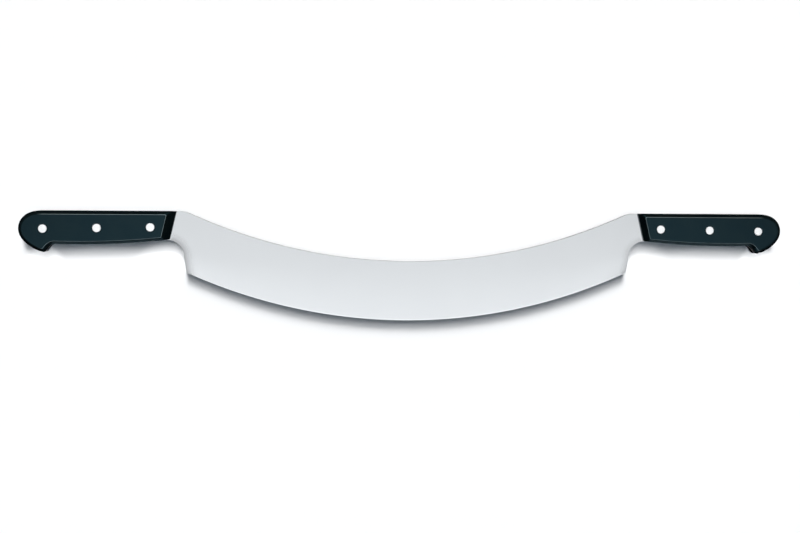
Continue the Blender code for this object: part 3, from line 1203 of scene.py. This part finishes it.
@dataclass
class BevelProfile:
    """How far a side of the scale has moved inwards at each height. Both corners of its slope are rounded."""

    foot: float
    slope_low: float
    top: float
    run: float
    low_rounding: float
    top_rounding: float
    foot_ease: float = 0.08 * MM
    low_steps: int = 4
    top_steps: int = 8

    @property
    def tilt(self) -> float:
        """The slope's angle from level."""
        return math.atan2(self.top - self.slope_low, self.run)

    @property
    def low_reach(self) -> float:
        """How far the lower rounding reaches from its corner."""
        return self.low_rounding * math.tan((math.pi / 2 - self.tilt) / 2)

    @property
    def top_reach(self) -> float:
        """How far the upper rounding reaches from its corner."""
        return self.top_rounding * math.tan(self.tilt / 2)

    def levels(self) -> list[float]:
        """The heights at which this side needs a ring."""
        low = self.slope_low - self.low_reach
        turn = math.pi / 2 - self.tilt
        heights = [self.foot, self.foot + self.foot_ease]
        for k in range(self.low_steps + 1):
            heights.append(low + self.low_rounding * math.sin(turn * k / self.low_steps))
        for k in range(self.top_steps, -1, -1):
            heights.append(self.top - self.top_rounding * (1 - math.cos(self.tilt * k / self.top_steps)))
        return heights

    def inset(self, height: float) -> float:
        """How far the side has moved inwards at a height.

        Args:
            height: The height, from the foot to the top.

        Returns:
            The inset.
        """
        eased = max(0.0, self.foot + self.foot_ease - height)
        low = self.slope_low - self.low_reach
        if height <= low:
            return eased
        if height < self.slope_low + self.low_reach * math.sin(self.tilt):
            return self.low_rounding - math.sqrt(self.low_rounding**2 - (height - low) ** 2)
        if height < self.top - self.top_reach * math.sin(self.tilt):
            return (height - self.slope_low) / math.tan(self.tilt)
        under = height - (self.top - self.top_rounding)
        return self.run + self.top_reach - math.sqrt(max(0.0, self.top_rounding**2 - under**2))


@dataclass(frozen=True)
class RivetSizes:
    """The sizes of a two-part rivet, as drawn up tight."""

    head: float = 6.8 * MM
    head_thickness: float = 1.8 * MM
    sleeve: float = 4.8 * MM
    pin: float = 3.0 * MM
    clearance: float = 0.04 * MM
    ease: float = 0.10 * MM
    ease_corner: float = 0.3
    dome: float = 0.05 * MM


@dataclass
class Scale:
    """A moulded scale: bevelled all round, sloped at its front end, and bored for three rivets."""

    outline: HandleOutline
    end: End
    face: Face
    seat: float = 1.23 * MM
    bevel_width: float = 2.5 * MM
    bevel_depth: float = 1.8 * MM
    bevel_low_rounding: float = 0.4 * MM
    bevel_top_rounding: float = 1.0 * MM
    front_land_top: float = 2.7 * MM
    front_slopes: dict[End, float] = field(default_factory=lambda: {End.LEFT: 7.0 * MM, End.RIGHT: 4.6 * MM})
    level_gap: float = 0.03 * MM
    support: float = 0.25 * MM
    bore_rim: float = 0.20 * MM
    rim_corner: float = 0.3
    bore_clearance: float = 0.34 * MM
    bore_sides: int = 48
    corner_rounding: float = 1.0 * MM
    least_rounding: float = 0.12 * MM
    # How far from the front end the painted highlight along the bevels reaches, and over what length it fades
    rubbed_length: float = 107 * MM
    rubbed_fade: float = 6 * MM

    @property
    def name(self) -> str:
        """The CAD node's name."""
        return f"{self.end.word}_{self.face.word}_scale"

    @property
    def side(self) -> BevelProfile:
        """The bevel along the sides and round the butt."""
        return self.profile(HALF_HEIGHT - self.bevel_depth, self.bevel_width)

    @property
    def front(self) -> BevelProfile:
        """The slope at the front end."""
        return self.profile(self.front_land_top, self.front_slopes[self.end])

    def profile(self, slope_low: float, run: float) -> BevelProfile:
        """A slope from this height up to the outer face, over this distance."""
        roundings = self.bevel_low_rounding, self.bevel_top_rounding
        return BevelProfile(self.seat, slope_low, HALF_HEIGHT, run, *roundings)

    def build(
        self, rivets: Sequence[Vector], bore: RivetSizes, material: bpy.types.Material
    ) -> bpy.types.Object:
        """Builds the scale.

        Args:
            rivets: The places of its three rivets, on the right handle.
            bore: The rivets' sizes.
            material: The scale's finish.

        Returns:
            The scale.
        """
        draft = Draft()
        rings = []
        for height in self.merged(self.side.levels() + self.front.levels()):
            worn, buffed = self.wear(height)
            points = self.section_at(height, 0)
            rings.append(draft.ring(points, height, lambda point: worn * self.rubbed(point), buffed))
        rings.append(draft.ring(self.section_at(HALF_HEIGHT, self.support), HALF_HEIGHT))
        for one, two in zip(rings, rings[1:]):
            draft.wall(one, two)
        holes = {"face": [rings[-1]], "seat": [rings[0]]}
        for place in rivets:
            self.bore(draft, place, bore, holes)
        for outlines in holes.values():
            draft.cap(outlines)
        draft.mirror(self.end, self.face)
        name = self.name.replace("_scale", "_moulded_scale")
        return draft.finish(name, material, self.name)

    def section_at(self, height: float, support: float) -> Ring:
        """A level cut through the scale.

        Args:
            height: Its height.
            support: How much further in it lies than the scale's own sides.

        Returns:
            The points, clockwise.
        """
        side, front = self.side, self.front
        risen = smooth_step((height - side.slope_low) / (side.top - side.slope_low))
        rounding = self.least_rounding + (self.corner_rounding - self.least_rounding) * risen
        insets = side.inset(height) + support, front.inset(height) + support
        return self.outline.section(self.end, *insets, rounding)

    def merged(self, heights: Iterable[float]) -> list[float]:
        """The heights in order, without those that nearly repeat."""
        kept: list[float] = []
        for height in sorted(heights):
            if not kept or height - kept[-1] > self.level_gap:
                kept.append(height)
        kept[-1] = HALF_HEIGHT
        return kept

    def wear(self, height: float) -> tuple[float, float]:
        """How strong the painted highlight and the gloss are on the scale at a height.

        Args:
            height: The height, from the foot to the top.

        Returns:
            The painted highlight, most halfway round the bevel's upper rounding, and the gloss, all the way
            down from it.
        """
        turned = math.acos(max(0.0, 1 - (HALF_HEIGHT - height) / self.bevel_top_rounding))
        share = min(1.0, turned / self.side.tilt)
        return math.sin(math.pi * share), share

    def rubbed(self, point: Vector) -> float:
        """How much of the painted highlight shows at a point: less and less from the last rivet to the butt.
        """
        return 1 - smooth_step((point.x - self.outline.front - self.rubbed_length) / self.rubbed_fade)

    def bore(self, draft: Draft, place: Vector, sizes: RivetSizes, holes: dict[str, list]) -> None:
        """One rivet's bore, with its counterbore and a softened rim.

        Args:
            draft: The scale in the making.
            place: The bore's place.
            sizes: The rivets' sizes.
            holes: The rings of the outer face and of the seat, which this adds to.
        """
        head = sizes.head / 2 + self.bore_clearance
        shank = sizes.sleeve / 2 + sizes.clearance
        floor = HALF_HEIGHT - sizes.head_thickness - sizes.clearance
        corner = self.bore_rim * self.rim_corner
        section = (
            (head + self.bore_rim + self.support, HALF_HEIGHT),
            (head + self.bore_rim, HALF_HEIGHT),
            (head + corner, HALF_HEIGHT - corner),
            (head, HALF_HEIGHT - self.bore_rim),
            (head, floor),
            (shank, floor),
            (shank, self.seat),
        )
        rings = [draft.ring(circle(place, radius, self.bore_sides), height) for radius, height in section]
        for one, two in zip(rings, rings[1:]):
            draft.wall(one, two)
        holes["face"].append(rings[0])
        holes["seat"].append(rings[-1])


@dataclass
class Rivet:
    """A flanged sleeve from the front and a headed pin from the back, both ground flush."""

    end: End
    place: Place
    at: Vector
    sizes: RivetSizes
    sides: int = 64
    dome_steps: int = 4
    worn_eases: float = 1.5

    @property
    def seat(self) -> float:
        """The height of the head's underside."""
        return HALF_HEIGHT - self.sizes.head_thickness

    def domed(self, radius: float) -> tuple[float, float]:
        """A point of the faintly domed head at this radius."""
        sizes = self.sizes
        return radius, HALF_HEIGHT - sizes.dome * (radius / (sizes.head / 2)) ** 2

    def head(self, inner: float) -> list[tuple[float, float]]:
        """The head's profile from near the axis, over its eased rim, to its seat."""
        sizes = self.sizes
        rim = sizes.head / 2
        reach = rim - sizes.ease
        radii = [inner + (reach - inner) * k / self.dome_steps for k in range(self.dome_steps + 1)]
        shoulder = self.domed(rim)[1]
        corner = sizes.ease * sizes.ease_corner
        return [
            *[self.domed(radius) for radius in radii],
            (rim - corner, shoulder - corner),
            (rim, shoulder - sizes.ease),
            (rim, self.seat),
        ]

    def sleeve_profile(self) -> list[tuple[float, float]]:
        """The sleeve's closed section."""
        sizes = self.sizes
        bore = sizes.pin / 2 + sizes.clearance
        low = sizes.clearance - self.seat
        return [
            (bore, self.domed(bore)[1] - sizes.ease),
            *self.head(bore + sizes.ease),
            (sizes.sleeve / 2, self.seat),
            (sizes.sleeve / 2, low),
            (bore, low),
        ]

    def pin_profile(self) -> list[tuple[float, float]]:
        """The pin's section from axis to axis: its end in front and its head behind."""
        sizes = self.sizes
        radius = sizes.pin / 2
        end = self.domed(radius)[1]
        back = [(r, -z) for r, z in reversed(self.head(0.0))]
        front = [(0.0, HALF_HEIGHT), (radius - sizes.ease, end), (radius, end - sizes.ease)]
        return [*front, (radius, -self.seat), *back]

    def build(self, material: bpy.types.Material) -> list[bpy.types.Object]:
        """Builds the sleeve and the pin.

        Args:
            material: The rivets' finish.

        Returns:
            Both pieces.
        """
        made = []
        at = (self.end.value * self.at.x, self.at.y)
        place = f"{self.end.word}_{self.place.word}"
        worn_from = self.sizes.head / 2 - self.sizes.ease * self.worn_eases
        for part, profile in (("sleeve", self.sleeve_profile()), ("pin", self.pin_profile())):
            draft = Draft()
            draft.turn(profile, self.sides)
            for vert in draft.shape.verts:
                vert[draft.worn] = float(math.hypot(vert.co.x, vert.co.y) > worn_from)
            name, node = f"{place}_flush_{part}", f"{place}_rivet_{part}"
            made.append(draft.finish(name, material, node, at))
        return made


@dataclass
class Handle:
    """A handle: two scales on the tang, held by three rivets."""

    end: End
    outline: HandleOutline
    rivets: RivetSizes
    from_front: float = 19.5 * MM
    from_butt: float = 20.7 * MM
    below_top: float = 13.5 * MM
    drop: float = 0.7 * MM
    shifts: dict[End, float] = field(default_factory=lambda: {End.LEFT: 0.6 * MM, End.RIGHT: 0.0})

    def rivet_places(self) -> list[Vector]:
        """The rivets' places on the right handle, from the blade outwards."""
        spacing = (self.outline.length - self.from_front - self.from_butt) / 2
        first = self.outline.front + self.from_front + self.shifts[self.end]
        start = Vector((first, self.outline.top - self.below_top))
        return [start + Vector((spacing, -self.drop)) * place.value for place in Place]

    def build(self, plastic: bpy.types.Material, metal: bpy.types.Material) -> list[bpy.types.Object]:
        """Builds the scales and the rivets.

        Args:
            plastic: The scales' finish.
            metal: The rivets' finish.

        Returns:
            All the handle's pieces.
        """
        places = self.rivet_places()
        pieces = [Scale(self.outline, self.end, face).build(places, self.rivets, plastic) for face in Face]
        for place, at in zip(Place, places):
            pieces += Rivet(self.end, place, at, self.rivets).build(metal)
        return pieces


# Studio


@dataclass(frozen=True)
class Card:
    """A soft light card, seen in gloss alone. Its tone is how bright it looks there, 1 being white."""

    name: str
    centre: Triple
    width: float
    depth: float
    tone: float
    aim: Triple = (0.0, 0.0, 0.0)
    lengthwise: float = 0.9

    @classmethod
    def over(cls, name: str, x: float, y: float, width: float, depth: float, tone: float) -> "Card":
        """A card that hangs level over this place."""
        return cls(name, (x, y, CARD_HEIGHT), width, depth, tone, (x, y, 0.0))

    def build(self, seen_by: bpy.types.Collection | None = None) -> None:
        """Hangs the card as an area light that faces its aim.

        Args:
            seen_by: The only pieces that shine in it, if not all.
        """
        light = bpy.data.lights.new(self.name, "AREA")
        light.shape = "RECTANGLE"
        light.size = self.width
        light.size_y = self.depth
        light.energy = self.tone * math.pi * self.width * self.depth
        card = into_scene(self.name, light)
        place = Vector(self.centre)
        back = (place - Vector(self.aim)).normalized()
        across = Vector((1, 0, 0)) if abs(back.x) < self.lengthwise else Vector((0, 1, 0))
        upward = back.cross(across).normalized()
        turned = Matrix((upward.cross(back), upward, back)).transposed().to_4x4()
        card.matrix_world = Matrix.Translation(place) @ turned
        card.visible_camera = False
        card.visible_diffuse = False
        if seen_by:
            card.light_linking.receiver_collection = seen_by


@dataclass(frozen=True)
class DistantLight:
    """A distant light for matt surfaces alone. Its elevation is in degrees from where the spine faces."""

    name: str
    elevation: float
    spread: float
    on_paper: float
    casts_shadow: bool = True
    colour: Colour = (1.0, 1.0, 1.0)

    def build(self, paper: float, blockers: bpy.types.Collection | None = None) -> None:
        """Places the light.

        Args:
            paper: How much light the paper throws back.
            blockers: The only pieces that cast a shadow in it, if not all.
        """
        elevation = math.radians(self.elevation)
        light = bpy.data.lights.new(self.name, "SUN")
        light.energy = self.on_paper * math.pi / (paper * math.sin(elevation))
        light.angle = math.radians(self.spread)
        light.use_shadow = self.casts_shadow
        light.color = self.colour
        sun = into_scene(self.name, light)
        towards = Vector((0, math.cos(elevation), math.sin(elevation)))
        sun.rotation_mode = "QUATERNION"
        sun.rotation_quaternion = towards.to_track_quat("Z", "Y")
        sun.visible_glossy = False
        if blockers:
            sun.light_linking.blocker_collection = blockers


@dataclass(frozen=True)
class PaperWash:
    """A small oval of soft light on the paper alone, which lifts the shadow there."""

    name: str
    middle: tuple[float, float]
    reach: tuple[float, float]
    on_paper: float
    height: float = 0.6

    def build(self, paper: float, floor: bpy.types.Collection) -> None:
        """Hangs the light over its place, facing straight down.

        Args:
            paper: How much light the paper throws back.
            floor: What it lights.
        """
        light = bpy.data.lights.new(self.name, "SPOT")
        light.energy = self.on_paper * (math.tau * self.height) ** 2 / paper
        light.spot_size = 2 * math.atan(self.reach[0] / self.height)
        light.spot_blend = 1.0
        light.shadow_soft_size = 0.0
        spot = into_scene(self.name, light)
        spot.location = (*self.middle, self.height)
        spot.scale.y = self.reach[1] / self.reach[0]
        spot.light_linking.receiver_collection = floor


@dataclass
class Studio:
    """A white paper floor, a tall soft light behind the spine, and the camera over the knife."""

    floor_size: float = 9.0
    floor_drop: float = 0.2 * MM
    floor_squares: int = 8
    tall_spread: float = 15.0
    tall_light: tuple[tuple[float, float], ...] = (
        (28.0, 0.120),
        (36.8, 0.396),
        (45.7, 0.140),
        (54.7, 0.135),
        (64.0, 0.074),
        (73.5, 0.047),
    )
    fill: DistantLight = DistantLight("fill", 105, 30, 0.119, casts_shadow=False, colour=(0.71, 0.85, 1.0))
    washes: tuple[PaperWash, ...] = (
        PaperWash("wash_under_left_beak", (-0.3118, 0.0018), (0.0185, 0.0185), 0.70),
        PaperWash("wash_under_right_beak", (0.3140, 0.0030), (0.0185, 0.0185), 0.70),
        PaperWash("wash_along_left_handle", (-0.2600, 0.0062), (0.0555, 0.0125), 0.17),
        PaperWash("wash_along_right_handle", (0.2680, 0.0070), (0.0555, 0.0125), 0.17),
        PaperWash("wash_beside_left_heel", (-0.2080, 0.0048), (0.0312, 0.0173), 0.45),
        PaperWash("wash_beside_right_heel", (0.2063, 0.0055), (0.0277, 0.0173), 0.27),
    )
    surroundings: float = 0.02
    backdrop: float = 0.95
    cards: tuple[Card, ...] = (
        Card.over("over_spine", 0.09, 0.12, 0.54, 0.26, 0.79),
        Card.over("over_left_spine", -0.44, 0.12, 0.52, 0.26, 0.95),
        Card.over("over_right_spine", 0.64, 0.12, 0.56, 0.26, 0.86),
        Card.over("over_middle", 0.12, -0.13, 2.04, 0.24, 0.97),
        Card.over("over_edge", -0.09, -0.41, 1.88, 0.32, 1.20),
        Card("behind_spine", (0.0, 0.95, 1.10), 1.5, 0.5, 2.0),
        Card("before_edge", (0.05, -0.95, 1.10), 2.1, 0.60, 1.35),
        Card("low_in_front", (0.15, -1.30, 0.24), 2.1, 0.33, 0.75),
    )
    low_behind: Card = Card("low_behind_spine", (0.10, 1.25, 0.40), 2.6, 0.7, 2.4)
    ring_cards: int = 8
    ring_distance: float = 1.6
    ring_height: float = 1.2
    ring_tone: float = 0.60
    focal_length: float = 44.12
    sensor_width: float = 36.0
    clip_start: float = 10 * MM
    camera_distance: float = 850 * MM
    camera_aim: Triple = (-8.825 * MM, 0.15 * MM, HALF_HEIGHT)
    camera_pitch: float = math.radians(-5)
    camera_yaw: float = math.radians(-4.647)
    camera_roll: float = math.radians(0.069)

    def build(self, blade: bpy.types.Object) -> None:
        """Sets up the floor, the lights, the surroundings and the camera.

        Args:
            blade: The blade, which alone casts the tall light's shadow and shines in the lowest cards.
        """
        paper = WhitePaper()
        brightness = paper.colour[0]
        floor = bpy.data.collections.new("floor")
        floor.objects.link(self.lay_floor(paper))
        steel = bpy.data.collections.new("steel")
        steel.objects.link(blade)
        for number, (elevation, on_paper) in enumerate(self.tall_light, 1):
            light = DistantLight(f"tall_light_{number}", elevation, self.tall_spread, on_paper)
            light.build(brightness, steel)
        self.fill.build(brightness)
        for wash in self.washes:
            wash.build(brightness, floor)
        for card in self.cards:
            card.build()
        for card in (self.low_behind, *self.ring()):
            card.build(steel)
        self.surround()
        self.place_camera()
        lights = len(self.tall_light) + len(self.washes) + 1
        log.info("studio: %d lights, %d cards", lights, len(self.cards) + self.ring_cards + 1)

    def ring(self) -> list[Card]:
        """A closed ring of standing cards round the knife, so that the steel shines from every side."""
        width = 2 * self.ring_distance * math.tan(math.pi / self.ring_cards)
        middle = self.ring_height / 2
        cards = []
        for number in range(self.ring_cards):
            angle = math.tau * number / self.ring_cards
            centre = (self.ring_distance * math.cos(angle), self.ring_distance * math.sin(angle), middle)
            name = f"ring_{number + 1}"
            cards.append(Card(name, centre, width, self.ring_height, self.ring_tone, (0.0, 0.0, middle)))
        return cards

    def lay_floor(self, paper: WhitePaper) -> bpy.types.Object:
        """Lays the paper, just under the scales."""
        shape = bmesh.new()
        squares = self.floor_squares
        bmesh.ops.create_grid(shape, x_segments=squares, y_segments=squares, size=self.floor_size / 2)
        mesh = bpy.data.meshes.new("paper_floor")
        shape.to_mesh(mesh)
        shape.free()
        mesh.materials.append(paper.material())
        floor = into_scene("paper_floor", mesh)
        floor.location.z = -self.floor_drop
        floor.visible_glossy = False
        return floor

    def surround(self) -> None:
        """A dark room for the shine, and a pale backdrop for the camera."""
        world = bpy.data.worlds.new("studio_room")
        bpy.context.scene.world = world
        world.use_nodes = True
        world.node_tree.nodes.clear()
        nodes = Nodes(world.node_tree)
        room, pale = [
            nodes.add("ShaderNodeBackground", {"Color": (1, 1, 1, 1), "Strength": strength}).outputs[0]
            for strength in (self.surroundings, self.backdrop)
        ]
        seen = nodes.add("ShaderNodeLightPath").outputs["Is Camera Ray"]
        mix = nodes.add("ShaderNodeMixShader", {0: seen, 1: room, 2: pale})
        nodes.add("ShaderNodeOutputWorld", {"Surface": mix.outputs[0]})

    def place_camera(self) -> None:
        """Places the camera as the photograph was taken: from above, a little left and behind the spine."""
        data = bpy.data.cameras.new("camera")
        data.lens = self.focal_length
        data.sensor_width = self.sensor_width
        data.clip_start = self.clip_start
        turned = (
            Matrix.Rotation(self.camera_pitch, 3, "X")
            @ Matrix.Rotation(self.camera_yaw, 3, "Y")
            @ Matrix.Rotation(self.camera_roll, 3, "Z")
        )
        place = Vector(self.camera_aim) + turned.col[2] * self.camera_distance
        camera = into_scene("camera", data)
        camera.matrix_world = Matrix.Translation(place) @ turned.to_4x4()
        bpy.context.scene.camera = camera
        bpy.context.scene.view_settings.view_transform = "Standard"


def main() -> None:
    """Builds the knife and the studio, piece by piece."""
    logging.basicConfig(level=logging.INFO, format="%(name)s: %(message)s")
    effects = Effects()
    steel = GroundSteel().material(effects)
    plastic = MouldedPlastic().material(effects)
    metal = TurnedAluminium().material(effects)
    outline = HandleOutline()
    sizes = RivetSizes()
    handles = [Handle(end, outline, sizes) for end in End]
    rivets = [Vector((handle.end.value * at.x, at.y)) for handle in handles for at in handle.rivet_places()]
    blade = Blade(BladeShape(outline)).build(rivets, sizes.sleeve / 2 + sizes.clearance, steel)
    for handle in handles:
        pieces = handle.build(plastic, metal)
        log.info("%s handle: %d pieces", handle.end.word, len(pieces))
    Studio().build(blade)


if __name__ == "__main__":
    main()
